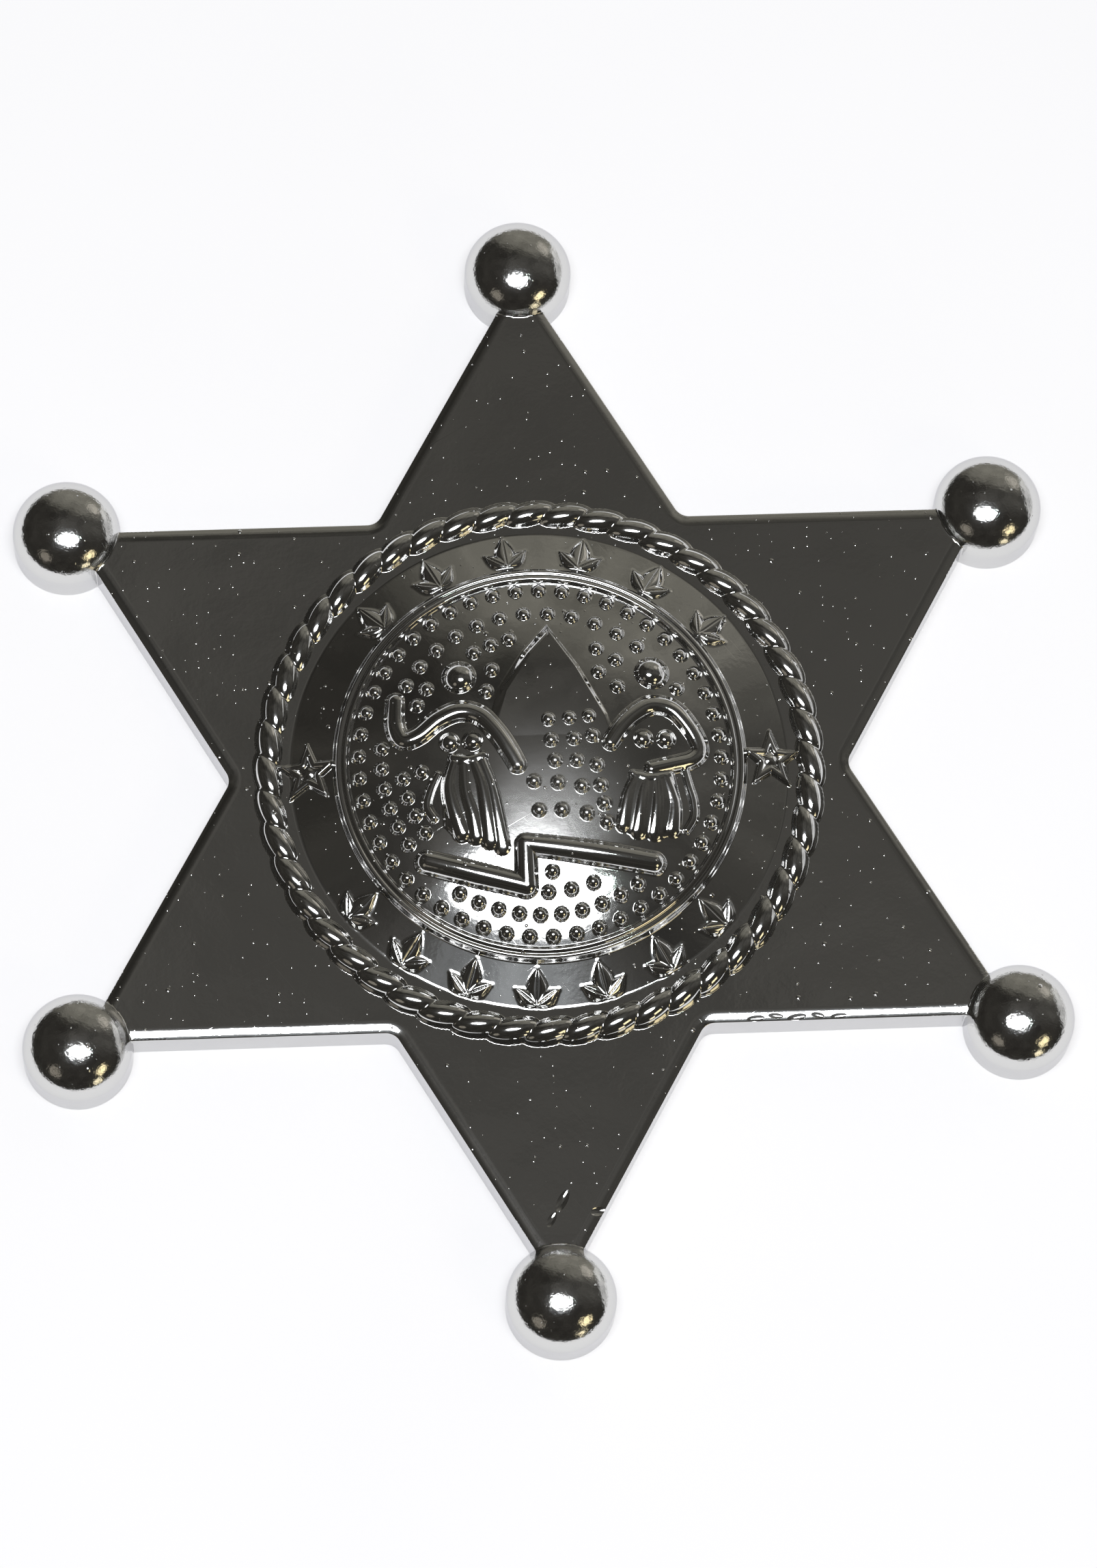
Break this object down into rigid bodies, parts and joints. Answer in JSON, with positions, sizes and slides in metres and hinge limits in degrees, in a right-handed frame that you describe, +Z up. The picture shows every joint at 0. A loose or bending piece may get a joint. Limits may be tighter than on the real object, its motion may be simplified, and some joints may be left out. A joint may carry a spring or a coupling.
{
  "type": "six-pointed star badge",
  "caption": "Six-pointed star badge with ball tips, a rope-bordered round seal in raised relief and a brooch pin in its hollow back.",
  "frame": {"origin": "centre of the star on the plane that its back rim lies on", "axes": "+Z up out of the badge's face, +Y towards its top point, +X to the wearer's left, which is the right of the face as seen"},
  "size_m": [0.0774, 0.0882, 0.0077],
  "materials": {
    "plated_star": "bright mirror plating over moulded plastic, with small pips, fine scratches and soft waviness",
    "pin_steel": "plain nickel-plated steel strip and wire"
  },
  "bodies": {
    "root": {"star_body": "plated_star", "pin_back": "pin_steel"}
  },
  "joints": []
}
